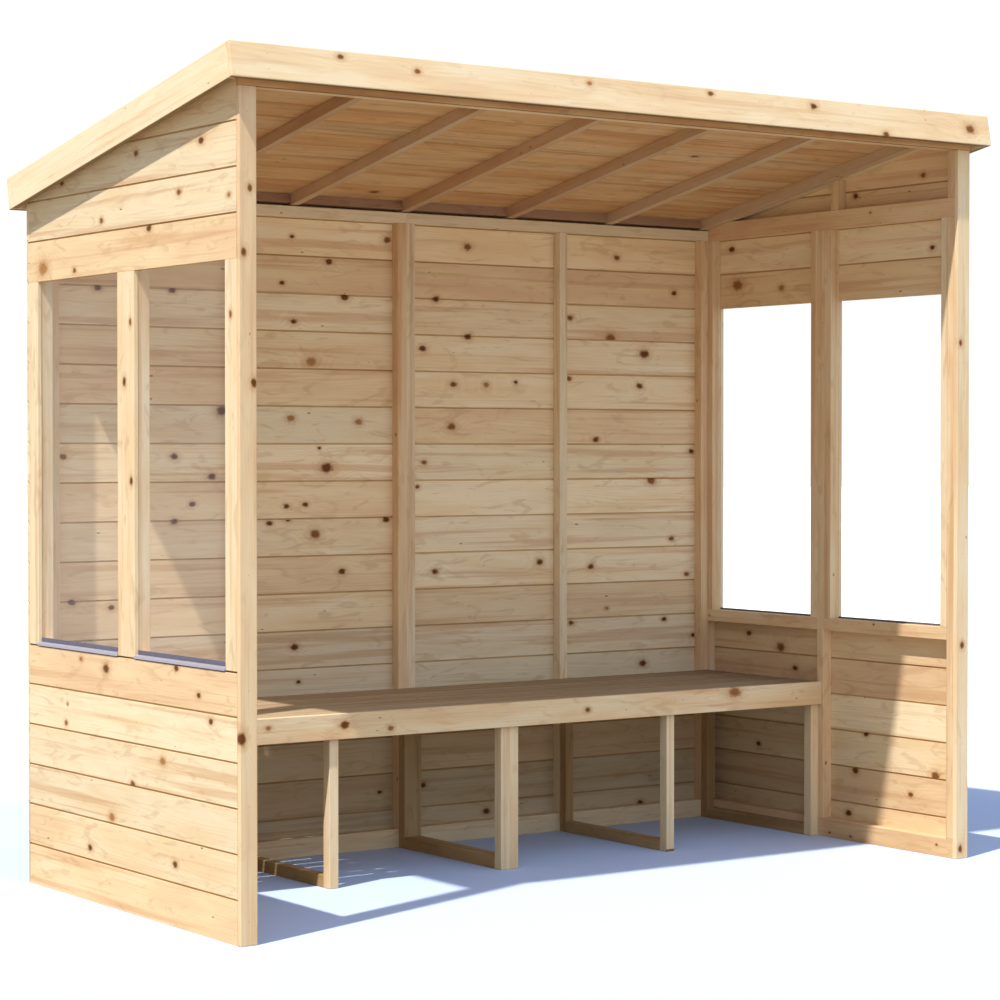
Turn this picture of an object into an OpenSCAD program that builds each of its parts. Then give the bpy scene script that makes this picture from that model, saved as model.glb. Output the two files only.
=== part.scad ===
// Open-fronted pent garden arbor with a full-width bench, in millimetres.
// Ground at z = 0, front towards -Y, origin under the middle of the overall box.
// The walls stand between x = 0 and wall_width, y = 0 and wall_depth, and are then centred.

/* [Overall] */
// Width over the cladding of the two side walls
wall_width = 2496; // [2080:1:3000]
// Depth from the front edge of the side cladding to the outer face of the back cladding
wall_depth = 1196; // [990:1:1440]
// Height of the top edge of the front fascia above the ground
front_height = 2221; // [1850:1:2670]
// Fall of the roof towards the back, in degrees
roof_pitch = 10.3; // [8:0.1:12]

/* [Cladding] */
// Height that one wall board covers
board_cover = 113; // [90:1:120]
// Thickness of the wall boards
board_t = 12; // [10:0.5:18]
// Number of whole boards below the windows
sill_boards = 6; // [4:1:6]
// Number of whole boards between the window heads and the head rails
head_boards = 2; // [1:1:2]

/* [Framing] */
// Width of a stud as seen face on
stud_w = 30; // [24:1:36]
// Depth of the wall framing behind the boards
frame_d = 35; // [30:1:45]
// Height of the bottom rails and of the side walls' head rails
rail_h = 57; // [40:1:68]
// Height of the sill rails under the windows
sill_rail_h = 38; // [30:1:50]
// Height that the sill rails stand above the boards below the windows
sill_up = 14; // [10:1:25]
// Height of the back wall's top rails at their front face
back_rail_h = 32; // [28:1:50]
// Length of a rafter's bearing on the back wall's top rail
rafter_heel = 12; // [6:1:25]
// Clear height between the side walls' head rails and the roof boards, at the back
head_gap = 7; // [2:1:20]
// Joint left open between two studs that stand side by side
stud_joint = 1; // [0.5:0.5:3]

/* [Windows] */
// Width of the boarded strips at both ends of each side wall
end_strip_w = 58; // [50:1:75]
// Width of the boarded strip between two panes
mid_strip_w = 96; // [80:1:140]
// Thickness of the panes
pane_t = 3; // [2:0.5:6]
// Height that the panes run up behind the boards over them
pane_lap = 10; // [5:1:20]
// Height of the drip strips along the foot of the panes
drip_h = 20; // [12:1:24]
// Thickness of the drip strips
drip_t = 2; // [1:0.5:4]
// Distance that the drip strips stand out from the boards
drip_out = 3; // [1:0.5:6]
// Height of the drip strips' nose above the boards below it
drip_nose = 6; // [3:0.5:8]
// Length of the lip that hangs in front of the boards
drip_lip = 2; // [1:0.5:8]

/* [Front] */
// Width of the corner trims
trim_w = 49; // [35:1:59]
// Thickness of the corner trims and of the trim along the beam
trim_t = 15; // [10:1:17]
// Drop from the fascia's top edge to the underside of the front beam
beam_drop = 103; // [95:1:125]

/* [Roof] */
// Overhang of the roof beyond each side wall
side_overhang = 45; // [35:1:80]
// Overhang of the front fascia's top edge beyond the side cladding
front_overhang = 43; // [40:1:90]
// Overhang of the roof beyond the back cladding
back_overhang = 36; // [36:1:90]
// Height of the fascia and barge boards
fascia_h = 91; // [75:1:110]
// Thickness of the fascia and barge boards
fascia_t = 18; // [12:1:20]
// Thickness of the roof boards
roof_board_t = 11; // [9:0.5:16]
// Thickness of the roofing felt
felt_t = 2; // [1:0.5:3]
// Height of a rafter
rafter_h = 33; // [28:1:38]
// Width of a rafter
rafter_w = 28; // [20:1:35]
// Number of rafters, with the two that lie along the side walls
rafter_count = 7; // [4:1:9]
// Height of the blocking between the rafters over the back wall
blocking_h = 27; // [15:1:30]

/* [Bench] */
// Height of the seat
seat_h = 490; // [408:1:588]
// Depth of the seat from the back studs to the front of the apron
seat_d = 565; // [470:1:640]
// Thickness of the seat boards
seat_t = 18; // [14:1:24]
// Number of seat boards
seat_boards = 8; // [4:1:9]
// Gap between two seat boards
seat_gap = 7; // [2:0.5:12]
// Height of the apron board
apron_h = 72; // [56:1:90]
// Thickness of the apron board
apron_t = 16; // [12:1:20]
// Depth of a bench leg from front to back
leg_d = 34; // [28:1:45]
// Height of the rails of the bench frames
bench_rail_h = 35; // [28:1:45]

/* [Hidden] */
tan_p = tan(roof_pitch);
cos_p = cos(roof_pitch);
sin_p = sin(roof_pitch);
// undersides of the roof boards and of the rafters, at any depth y
roof_under = felt_t + roof_board_t;
rafter_under = roof_under + rafter_h;
function below_top(y, w) = front_height - (y + front_overhang) * tan_p - w / cos_p;
function deck_z(y) = below_top(y, roof_under);
function raft_z(y) = below_top(y, rafter_under);
// depths
side_len = wall_depth - board_t;
back_face = side_len - frame_d;
back_over = max(back_overhang, fascia_t + fascia_h * sin_p + 1);
y_front = -front_overhang;
y_back = wall_depth + back_over;
y_mid = (y_front - fascia_h * sin_p + y_back) / 2;
// widths
x_mid = wall_width / 2;
room_l = board_t + frame_d;
room_r = wall_width - room_l;
quarter = (room_r - room_l) / 4;
// heights of the side walls
sill_z = sill_boards * board_cover;
sill_top = sill_z + sill_up;
head_top = deck_z(side_len) - head_gap;
head_z = head_top - rail_h;
win_top = head_z - head_boards * board_cover;
// edges of the strips and of the studs beside the panes
strip_a = (side_len - mid_strip_w) / 2;
strip_b = side_len - strip_a;
lap = 1;
pane_y = [[end_strip_w - lap, strip_a + lap], [strip_b - lap, side_len - end_strip_w + lap]];
mid_a = (side_len - stud_w) / 2;
mid_b = side_len - mid_a;
// front beam and back rails
beam_z = front_height - beam_drop;
heel_y = side_len - rafter_heel;
back_rail_z = raft_z(heel_y) - back_rail_h;
// the roof in its own plane: u runs down the slope, w is square to it
roof_len = (y_back - y_front) / cos_p;
roof_l = -side_overhang;
roof_r = wall_width + side_overhang;
raft_step = (room_r - room_l - rafter_w) / (rafter_count - 1);
block_u = (back_face - y_front + rafter_under * sin_p) / cos_p;
// bench
seat_y = back_face - seat_d;
leg_y = seat_y + apron_t;
back_leg_y = back_face - leg_d;
seat_z = seat_h - seat_t;
seat_board_w = (back_face - leg_y - seat_gap * (seat_boards - 1)) / seat_boards;
// left edges of the back studs and of the bench frames
stud_x = [room_l, room_l + quarter - stud_w / 2, x_mid - stud_joint - stud_w,
    x_mid + stud_joint, room_r - quarter - stud_w / 2, room_r - stud_w];
c_board = [0.93, 0.80, 0.58];
c_frame = [0.78, 0.62, 0.42];
c_trim = [0.97, 0.87, 0.68];
c_pane = [0.75, 0.82, 0.86, 0.5];
c_drip = [0.62, 0.66, 0.80];
c_felt = [0.25, 0.27, 0.26];

// moves the walls' own axes to the shared frame
module placed() { translate([-x_mid, -y_mid, 0]) children(); }
// a box given by two opposite corners
module box(a, b) { translate(a) cube(b - a); }
// the same piece on the left or, mirrored, on the right
module on_side(right) {
    if (right) translate([wall_width, 0, 0]) mirror([1, 0, 0]) children();
    else children();
}
// a prism from points (y, z), between two values of x
module prism(x0, x1, pts) {
    translate([x0, 0, 0]) rotate([90, 0, 90]) linear_extrude(height = x1 - x0) polygon(pts);
}
// lies in the plane of the roof, with u in place of y and w in place of z
module on_slope() {
    translate([0, y_front, front_height]) rotate([-roof_pitch, 0, 0]) children();
}

// ---- side walls ----
module side_lower_cladding(right) {
    color(c_board) placed() on_side(right) box([0, 0, 0], [board_t, side_len, sill_z]);
}
module side_window_strips(right) {
    color(c_board) placed() on_side(right)
        for (y = [[0, end_strip_w], [strip_a, strip_b], [side_len - end_strip_w, side_len]])
            box([0, y[0], sill_z], [board_t, y[1], win_top]);
}
module side_upper_cladding(right) {
    color(c_board) placed() on_side(right) prism(0, board_t,
        [[0, win_top], [side_len, win_top], [side_len, deck_z(side_len)], [0, deck_z(0)]]);
}
module side_studs(right) {
    color(c_frame) placed() on_side(right) {
        for (y = [[0, stud_w], [mid_a, mid_b], [side_len - stud_w, side_len]])
            box([board_t, y[0], rail_h], [room_l, y[1], head_z]);
        for (y = [[stud_w + stud_joint, pane_y[0][0]], [pane_y[0][1], mid_a - stud_joint],
                [mid_b + stud_joint, pane_y[1][0]], [pane_y[1][1], side_len - stud_w - stud_joint]])
            box([board_t, y[0], sill_top], [room_l, y[1], head_z]);
    }
}
module side_rails(right) {
    color(c_frame) placed() on_side(right) {
        box([board_t, 0, 0], [room_l, side_len, rail_h]);
        box([board_t, 0, head_z], [room_l, side_len, head_top]);
        for (y = [[stud_w, mid_a], [mid_b, side_len - stud_w]])
            box([board_t, y[0], sill_top - sill_rail_h], [room_l, y[1], sill_top]);
    }
}
// sloping rail under the roof boards, tapered where it meets the head rail
module side_gable_rail(right) {
    foot_y = (raft_z(0) - head_top) / tan_p;
    color(c_frame) placed() on_side(right) prism(board_t, room_l, [[0, raft_z(0)],
        [foot_y, head_top], [side_len, head_top], [side_len, deck_z(side_len)], [0, deck_z(0)]]);
}
// the front stud's upper length, and one upright between the head rail and the sloping rail
module side_gable_studs(right) {
    up_a = pane_y[0][1] - stud_w;
    up_b = pane_y[0][1];
    color(c_frame) placed() on_side(right) {
        box([board_t, 0, head_top], [room_l, stud_w, beam_z]);
        prism(board_t, room_l, [[up_a, head_top], [up_b, head_top], [up_b, raft_z(up_b)],
            [up_a, raft_z(up_a)]]);
    }
}
module side_window_panes(right) {
    color(c_pane) placed() on_side(right)
        for (y = pane_y)
            box([board_t, y[0], sill_top], [board_t + pane_t, y[1], win_top + pane_lap]);
}
// the lip hangs in front of the boards, the top falls outwards from a leg on the sill rail
module side_drip_strips(right) {
    leg_x = board_t - drip_t;
    color(c_drip) placed() on_side(right)
        for (y = [[end_strip_w, strip_a], [strip_b, side_len - end_strip_w]])
            translate([0, y[1], sill_z]) rotate([90, 0, 0]) linear_extrude(height = y[1] - y[0])
                polygon([[-drip_out, -drip_lip], [0, -drip_lip], [0, 0], [board_t, 0],
                    [board_t, drip_h], [leg_x, drip_h], [leg_x, drip_nose + drip_t],
                    [-drip_out, drip_nose]]);
}
module side_front_trim(right) {
    color(c_trim) placed() on_side(right) box([0, -trim_t, 0], [trim_w, 0, beam_z]);
}

module left_lower_cladding() { side_lower_cladding(false); }
module left_window_strips() { side_window_strips(false); }
module left_upper_cladding() { side_upper_cladding(false); }
module left_studs() { side_studs(false); }
module left_rails() { side_rails(false); }
module left_gable_rail() { side_gable_rail(false); }
module left_gable_studs() { side_gable_studs(false); }
module left_window_panes() { side_window_panes(false); }
module left_drip_strips() { side_drip_strips(false); }
module left_front_trim() { side_front_trim(false); }
module right_lower_cladding() { side_lower_cladding(true); }
module right_window_strips() { side_window_strips(true); }
module right_upper_cladding() { side_upper_cladding(true); }
module right_studs() { side_studs(true); }
module right_rails() { side_rails(true); }
module right_gable_rail() { side_gable_rail(true); }
module right_gable_studs() { side_gable_studs(true); }
module right_window_panes() { side_window_panes(true); }
module right_drip_strips() { side_drip_strips(true); }
module right_front_trim() { side_front_trim(true); }

// ---- back wall ----
module back_cladding(x0, x1) {
    color(c_board) placed() box([x0, side_len, 0], [x1, wall_depth, raft_z(wall_depth)]);
}
module back_cladding_left() { back_cladding(0, x_mid); }
module back_cladding_right() { back_cladding(x_mid, wall_width); }
module back_studs() {
    color(c_frame) placed() for (x = stud_x)
        box([x, back_face, rail_h], [x + stud_w, side_len, back_rail_z]);
}
module back_bottom_rails() {
    color(c_frame) placed()
        for (x = [[room_l, x_mid - stud_joint], [x_mid + stud_joint, room_r]])
            box([x[0], back_face, 0], [x[1], side_len, rail_h]);
}
module back_top_rails() {
    color(c_frame) placed()
        for (x = [[room_l, x_mid - stud_joint], [x_mid + stud_joint, room_r]])
            prism(x[0], x[1], [[back_face, back_rail_z], [side_len, back_rail_z],
                [side_len, raft_z(side_len)], [heel_y, raft_z(heel_y)],
                [back_face, raft_z(heel_y)]]);
}

// ---- front ----
module front_beam() {
    color(c_frame) placed() prism(board_t, wall_width - board_t, [[0, beam_z],
        [frame_d, beam_z], [frame_d, raft_z(frame_d)], [0, raft_z(0)]]);
}
module front_beam_trim() {
    color(c_trim) placed() prism(0, wall_width, [[-trim_t, beam_z], [0, beam_z],
        [0, raft_z(0)], [-trim_t, raft_z(-trim_t)]]);
}

// ---- roof ----
module rafters() {
    color(c_frame) placed() on_slope() for (i = [0:rafter_count - 1])
        box([room_l + i * raft_step, fascia_t, -rafter_under],
            [room_l + i * raft_step + rafter_w, roof_len - fascia_t, -roof_under]);
}
module rafter_blocking() {
    color(c_frame) placed() on_slope() for (i = [0:rafter_count - 2])
        box([room_l + i * raft_step + rafter_w, block_u, -roof_under - blocking_h],
            [room_l + (i + 1) * raft_step, block_u + rafter_w, -roof_under]);
}
module roof_boards() {
    color(c_board) placed() on_slope()
        box([roof_l + fascia_t, fascia_t, -roof_under],
            [roof_r - fascia_t, roof_len - fascia_t, -felt_t]);
}
module roof_felt() {
    color(c_felt) placed() on_slope()
        box([roof_l + fascia_t, fascia_t, -felt_t],
            [roof_r - fascia_t, roof_len - fascia_t, 0]);
}
module front_fascia() {
    color(c_trim) placed() on_slope() box([roof_l, 0, -fascia_h], [roof_r, fascia_t, 0]);
}
module back_fascia() {
    color(c_trim) placed() on_slope()
        box([roof_l, roof_len - fascia_t, -fascia_h], [roof_r, roof_len, 0]);
}
module barge_board(right) {
    color(c_trim) placed() on_side(right) on_slope()
        box([roof_l, fascia_t, -fascia_h], [roof_l + fascia_t, roof_len - fascia_t, 0]);
}
module left_barge_board() { barge_board(false); }
module right_barge_board() { barge_board(true); }

// ---- bench ----
module bench_seat_boards() {
    color(c_board) placed() for (i = [0:seat_boards - 1])
        translate([0, leg_y + i * (seat_board_w + seat_gap), 0])
            box([room_l, 0, seat_z], [room_r, seat_board_w, seat_h]);
}
module bench_apron() {
    color(c_trim) placed() box([room_l, seat_y, seat_h - apron_h], [room_r, leg_y, seat_h]);
}
module bench_front_legs() {
    color(c_frame) placed() for (x = stud_x)
        box([x, leg_y, 0], [x + stud_w, leg_y + leg_d, seat_z]);
}
module bench_back_legs() {
    color(c_frame) placed() for (x = stud_x)
        box([x, back_leg_y, 0], [x + stud_w, back_face, seat_z]);
}
module bench_foot_rails() {
    color(c_frame) placed() for (x = stud_x)
        box([x, leg_y + leg_d, 0], [x + stud_w, back_leg_y, bench_rail_h]);
}
module bench_top_rails() {
    color(c_frame) placed() for (x = stud_x)
        box([x, leg_y + leg_d, seat_z - bench_rail_h], [x + stud_w, back_leg_y, seat_z]);
}

left_lower_cladding();
left_window_strips();
left_upper_cladding();
left_studs();
left_rails();
left_gable_rail();
left_gable_studs();
left_window_panes();
left_drip_strips();
left_front_trim();
right_lower_cladding();
right_window_strips();
right_upper_cladding();
right_studs();
right_rails();
right_gable_rail();
right_gable_studs();
right_window_panes();
right_drip_strips();
right_front_trim();
back_cladding_left();
back_cladding_right();
back_studs();
back_bottom_rails();
back_top_rails();
front_beam();
front_beam_trim();
rafters();
rafter_blocking();
roof_boards();
roof_felt();
front_fascia();
back_fascia();
left_barge_board();
right_barge_board();
bench_seat_boards();
bench_apron();
bench_front_legs();
bench_back_legs();
bench_foot_rails();
bench_top_rails();
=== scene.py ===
import math
import random

import bmesh
import bpy
from mathutils import Matrix, Vector


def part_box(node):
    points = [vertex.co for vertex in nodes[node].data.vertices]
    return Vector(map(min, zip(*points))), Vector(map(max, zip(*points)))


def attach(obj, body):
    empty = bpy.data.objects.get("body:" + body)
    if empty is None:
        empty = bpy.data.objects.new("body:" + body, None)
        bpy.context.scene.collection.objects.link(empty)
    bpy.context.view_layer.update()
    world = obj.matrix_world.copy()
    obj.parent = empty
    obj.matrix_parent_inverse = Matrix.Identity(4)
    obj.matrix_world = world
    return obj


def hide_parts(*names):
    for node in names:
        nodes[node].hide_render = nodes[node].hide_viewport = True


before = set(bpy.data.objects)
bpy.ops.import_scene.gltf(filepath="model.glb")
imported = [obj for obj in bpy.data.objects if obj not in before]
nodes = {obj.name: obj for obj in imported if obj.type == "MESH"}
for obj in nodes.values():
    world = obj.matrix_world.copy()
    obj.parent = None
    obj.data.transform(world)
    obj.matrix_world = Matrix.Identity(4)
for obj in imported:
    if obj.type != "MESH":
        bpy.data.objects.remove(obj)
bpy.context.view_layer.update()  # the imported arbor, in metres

scene = bpy.context.scene
print("frame loaded,", len(nodes), "nodes")

# the camera stands well to the left of the open front, at chest height
view = {
    "place": (-4.4798, -6.3068, 1.2236),
    "tilt": 88.928,
    "heading": -35.117,
    "lens": 95.77,
    "sensor": 36.0,
    "far": 200.0,
}
camera = bpy.data.objects.new("camera", bpy.data.cameras.new("camera"))
camera.data.lens = view["lens"]
camera.data.sensor_width = view["sensor"]
camera.data.clip_end = view["far"]
camera.location = view["place"]
camera.rotation_euler = (math.radians(view["tilt"]), 0.0, math.radians(view["heading"]))
scene.collection.objects.link(camera)
scene.camera = camera

# where the walls begin: outer face of the left wall, its front edge, the ground
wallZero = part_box("left_lower_cladding")[0]
roofPitch = math.radians(10.3)  # falls towards the back
fasciaTop = max((v.co for v in nodes["front_fascia"].data.vertices), key=lambda p: p.z - p.y)


def planeAxes(along, across, through, origin):
    turn = Matrix((along, across, through)).transposed().to_4x4()
    return Matrix.Translation(origin) @ turn


# local axes of each boarded plane: along the boards, across them, through them
sidePlane = planeAxes((0, 1, 0), (0, 0, 1), (1, 0, 0), wallZero)
backPlane = planeAxes((1, 0, 0), (0, 0, 1), (0, -1, 0), wallZero)
roofPlane = planeAxes(
    (1, 0, 0),
    (0, math.cos(roofPitch), -math.sin(roofPitch)),
    (0, math.sin(roofPitch), math.cos(roofPitch)),
    (wallZero.x, fasciaTop.y, fasciaTop.z),
)


def localBox(node, plane):
    # lowest and highest corner of a CAD node, along the axes of a plane
    back = plane.inverted()
    points = [back @ v.co for v in nodes[node].data.vertices]
    return [[pick(p[i] for p in points) for i in range(3)] for pick in (min, max)]


def hexColour(text):
    # sRGB hex to linear values
    parts = [int(text[i : i + 2], 16) / 255 for i in (1, 3, 5)]
    return [c / 12.92 if c <= 0.04045 else ((c + 0.055) / 1.055) ** 2.4 for c in parts] + [1.0]


def addNode(tree, kind, inputs=None, **settings):
    # one node with its settings; an input is a plain value or another node's socket
    node = tree.nodes.new(kind)
    for key, value in settings.items():
        setattr(node, key, value)
    for key, value in (inputs or {}).items():
        if isinstance(value, bpy.types.NodeSocket):
            tree.links.new(value, node.inputs[key])
        else:
            node.inputs[key].default_value = value
    return node


def newMaterial(name):
    material = bpy.data.materials.new(name)
    material.use_nodes = True
    material.node_tree.nodes.clear()
    return material, material.node_tree


knotNames = tuple("knot" + letter for letter in "ABCDEFG")
knotShape = {
    "squash": (0.7, 1.0, 0.0),  # knots are a little longer along the grain
    "spread": 1650,             # millimetres across to a radius in metres, with the soft edge
    "bulge": (6.0, 1.5),        # how far the rings bend round a knot, and how much, in radii
    "mark": 2.2,                # a knot's own kind of colour holds out to here, in radii
    "heart": (1.3, 0.65),       # the dark wood fades in between these, in radii
    "halo": (3.0, 0.9),
    "haloDepth": 0.4,
}
# the figure's noises: repeats per metre along the grain and across it, detail, roughness,
# distortion, and where each begins and ends to show
figure = {
    "waver": ((70, 110, 110), 1.0, 0.5, 0.0, (0.0, 1.0)),  # 10 mm lumps in the knots' edges
    "trunk": ((1.3, 5.5, 5.5), 2.0, 0.45, 0.0, (0.0, 1.0)),  # slow bends of the trunk, 0.2 m
    "drift": ((3.0, 15, 15), 3.0, 0.55, 0.0, (0.32, 0.68)),  # tone, 70 mm by 330 mm
    "curl": ((7, 24, 24), 2.0, 0.5, 1.6, (0.56, 0.7)),  # dark smears, 40 mm by 140 mm
    "band": ((0.9, 32, 32), 2.0, 0.6, 0.0, (0.53, 0.68)),  # where the saw left a ring, 30 mm
    "streak": ((2.2, 80, 80), 2.0, 0.5, 0.0, (0.6, 0.76)),  # resin, 12 mm by 450 mm
    # fibres are 0.05 mm across; 2 mm is as fine as they can be drawn and still show
    "fibre": ((12, 500, 500), 2.0, 0.6, 0.0, (0.3, 0.7)),
}
rings = {
    "pith": (0, -0.08, -0.03),       # from the face, in metres
    "pithSpread": (0, 0.16, -0.05),
    "shade": ((0.4, 0.0), (0.82, 1.0), (0.92, 0.8)),  # pale early wood, dark late wood
    "edge": 0.35,
    "faint": (0.35, 0.62, 0.25),     # rings fade to a quarter where the band noise is low
}
# a net of cells 70 mm by 220 mm; the cells above the share hold a pin knot
pins = {"repeats": (4.5, 14, 0), "share": 0.8, "radius": (0.001, 0.032)}


def softwoodMaterial(name, look):
    # planed spruce: soft golden, pinkish and grey drifts, faint growth rings, small dark knots
    material, tree = newMaterial(name)
    grain = addNode(tree, "ShaderNodeAttribute", attribute_name="grain").outputs["Vector"]
    board = addNode(tree, "ShaderNodeAttribute", attribute_name="board")
    seeds = board.outputs["Vector"]
    shift = addNode(tree, "ShaderNodeVectorMath", {0: seeds, "Scale": 43.0},
                    operation="SCALE").outputs[0]
    along = addNode(tree, "ShaderNodeSeparateXYZ", {0: grain}).outputs["X"]
    noise = {}
    for part, (repeats, detail, roughness, distortion, _) in figure.items():
        place = addNode(tree, "ShaderNodeVectorMath", {0: grain, 1: repeats, 2: shift},
                        operation="MULTIPLY_ADD").outputs[0]
        noise[part] = addNode(tree, "ShaderNodeTexNoise", {
            "Vector": place, "Scale": 1.0, "Detail": detail, "Roughness": roughness,
            "Distortion": distortion}).outputs[0]

    # the nearest knot gives the dark heart and its halo; every knot lifts the rings round it
    lift, closest, kind = 0.0, 99.0, 0.0  # before any knot: none within 99 radii
    reach, height = knotShape["bulge"]
    for knotName in knotNames[: look["knots"]]:
        knot = addNode(tree, "ShaderNodeAttribute", attribute_name=knotName)
        radius = addNode(tree, "ShaderNodeSeparateXYZ", {0: knot.outputs["Vector"]}).outputs["Z"]
        away = addNode(tree, "ShaderNodeVectorMath", {0: grain, 1: knot.outputs["Vector"]},
                       operation="SUBTRACT").outputs[0]
        away = addNode(tree, "ShaderNodeVectorMath", {0: away, 1: knotShape["squash"]},
                       operation="MULTIPLY").outputs[0]
        away = addNode(tree, "ShaderNodeVectorMath", {0: away},
                       operation="LENGTH").outputs["Value"]
        away = addNode(tree, "ShaderNodeMath", {0: away, 1: radius},
                       operation="DIVIDE").outputs[0]
        bulge = addNode(tree, "ShaderNodeMapRange",
                        {0: away, 1: 0.0, 2: reach, 3: height, 4: 0.0},
                        interpolation_type="SMOOTHSTEP").outputs[0]
        lift = addNode(tree, "ShaderNodeMath", {0: bulge, 1: radius, 2: lift},
                       operation="MULTIPLY_ADD").outputs[0]
        closest = addNode(tree, "ShaderNodeMath", {0: away, 1: closest},
                          operation="MINIMUM").outputs[0]
        inside = addNode(tree, "ShaderNodeMath", {0: away, 1: knotShape["mark"]},
                         operation="LESS_THAN").outputs[0]
        kind = addNode(tree, "ShaderNodeMath", {0: inside, 1: knot.outputs["Alpha"], 2: kind},
                       operation="MULTIPLY_ADD").outputs[0]
    waver = addNode(tree, "ShaderNodeMapRange", {0: noise["waver"], 3: 0.6, 4: 1.4}).outputs[0]
    closest = addNode(tree, "ShaderNodeMath", {0: closest, 1: waver},
                      operation="MULTIPLY").outputs[0]
    start, end = knotShape["heart"]
    core = addNode(tree, "ShaderNodeMapRange", {0: closest, 1: start, 2: end}).outputs[0]
    start, end = knotShape["halo"]
    halo = addNode(tree, "ShaderNodeMapRange", {0: closest, 1: start, 2: end},
                   interpolation_type="SMOOTHSTEP").outputs[0]
    halo = addNode(tree, "ShaderNodeMath", {0: halo, 1: knotShape["haloDepth"]},
                   operation="MULTIPLY").outputs[0]

    # rings round a pith that lies 30 to 80 mm under the face, wandering slowly along the trunk
    pith = addNode(tree, "ShaderNodeVectorMath",
                   {0: seeds, 1: rings["pithSpread"], 2: rings["pith"]},
                   operation="MULTIPLY_ADD").outputs[0]
    section = addNode(tree, "ShaderNodeVectorMath", {0: grain, 1: (0, 1, 1)},
                      operation="MULTIPLY").outputs[0]
    section = addNode(tree, "ShaderNodeVectorMath", {0: section, 1: pith},
                      operation="SUBTRACT").outputs[0]
    radius = addNode(tree, "ShaderNodeVectorMath", {0: section},
                     operation="LENGTH").outputs["Value"]
    radius = addNode(tree, "ShaderNodeMath", {0: noise["trunk"], 1: look["wander"], 2: radius},
                     operation="MULTIPLY_ADD").outputs[0]
    radius = addNode(tree, "ShaderNodeMath", {0: along, 1: look["taper"], 2: radius},
                     operation="MULTIPLY_ADD").outputs[0]
    radius = addNode(tree, "ShaderNodeMath", {0: radius, 1: lift}, operation="ADD").outputs[0]
    year = addNode(tree, "ShaderNodeMath", {0: radius, 1: look["ringPitch"]},
                   operation="DIVIDE").outputs[0]
    year = addNode(tree, "ShaderNodeMath", {0: year}, operation="FRACT").outputs[0]
    late = addNode(tree, "ShaderNodeValToRGB", {0: year})
    for place, shade in rings["shade"]:
        late.color_ramp.elements.new(place).color = (shade, shade, shade, 1)
    for end in (0, -1):
        late.color_ramp.elements[end].color = (rings["edge"],) * 3 + (1,)

    # each board's own tone, drifting slowly, longer along the grain than across it
    start, end = figure["drift"][-1]
    drift = addNode(tree, "ShaderNodeMapRange", {
        0: noise["drift"], 1: start, 2: end, 3: -look["drift"], 4: look["drift"]}).outputs[0]
    warmth = addNode(tree, "ShaderNodeSeparateXYZ", {0: seeds}).outputs["Z"]
    warmth = addNode(tree, "ShaderNodeMath", {0: warmth, 1: drift}, operation="ADD").outputs[0]
    toned = addNode(tree, "ShaderNodeValToRGB", {0: warmth})
    for place in (0.36, 0.66):
        toned.color_ramp.elements.new(place)
    for stop, tone in zip(toned.color_ramp.elements, look["tones"]):
        stop.color = hexColour(tone)
    colour = toned.outputs[0]

    # the figure is stained over it, the rings most where the saw followed one
    start, end, least = rings["faint"]
    ringed = addNode(tree, "ShaderNodeMapRange",
                     {0: noise["band"], 1: start, 2: end, 3: least, 4: 1.0}).outputs[0]
    for factor in (late.outputs[0], look["rings"]):
        ringed = addNode(tree, "ShaderNodeMath", {0: ringed, 1: factor},
                         operation="MULTIPLY").outputs[0]
    stains = {}
    for part, curve in (("curl", "SMOOTHSTEP"), ("band", "SMOOTHSTEP"), ("streak", "LINEAR")):
        start, end = figure[part][-1]
        stains[part] = addNode(tree, "ShaderNodeMapRange",
                               {0: noise[part], 1: start, 2: end, 4: look[part]},
                               interpolation_type=curve).outputs[0]
    for amount, stain in ((stains["curl"], "smear"), (stains["band"], "late"), (ringed, "late"),
                          (stains["streak"], "resin"), (halo, "halo")):
        colour = addNode(tree, "ShaderNodeMix", {0: amount, 6: colour, 7: hexColour(look[stain])},
                         data_type="RGBA").outputs[2]
    heart = addNode(tree, "ShaderNodeMix",
                    {0: kind, 6: hexColour(look["knot"]), 7: hexColour(look["redKnot"])},
                    data_type="RGBA").outputs[2]
    colour = addNode(tree, "ShaderNodeMix", {0: core, 6: colour, 7: heart},
                     data_type="RGBA").outputs[2]

    # pin knots: 3 to 5 mm dots, one in some of the cells of a coarse net
    pinAt = addNode(tree, "ShaderNodeVectorMath", {0: grain, 1: pins["repeats"], 2: shift},
                    operation="MULTIPLY_ADD").outputs[0]
    pin = addNode(tree, "ShaderNodeTexVoronoi", {"Vector": pinAt, "Scale": 1.0},
                  voronoi_dimensions="2D")
    pinSize = addNode(tree, "ShaderNodeSeparateXYZ", {0: pin.outputs["Color"]}).outputs["X"]
    small, large = pins["radius"]
    pinSize = addNode(tree, "ShaderNodeMapRange",
                      {0: pinSize, 1: pins["share"], 2: 1.0, 3: small, 4: large}).outputs[0]
    pinned = addNode(tree, "ShaderNodeMath", {0: pin.outputs["Distance"], 1: pinSize},
                     operation="LESS_THAN").outputs[0]
    pinned = addNode(tree, "ShaderNodeMath", {0: pinned, 1: look["pins"]},
                     operation="MULTIPLY").outputs[0]
    colour = addNode(tree, "ShaderNodeMix", {0: pinned, 6: colour, 7: hexColour(look["knot"])},
                     data_type="RGBA").outputs[2]

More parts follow.
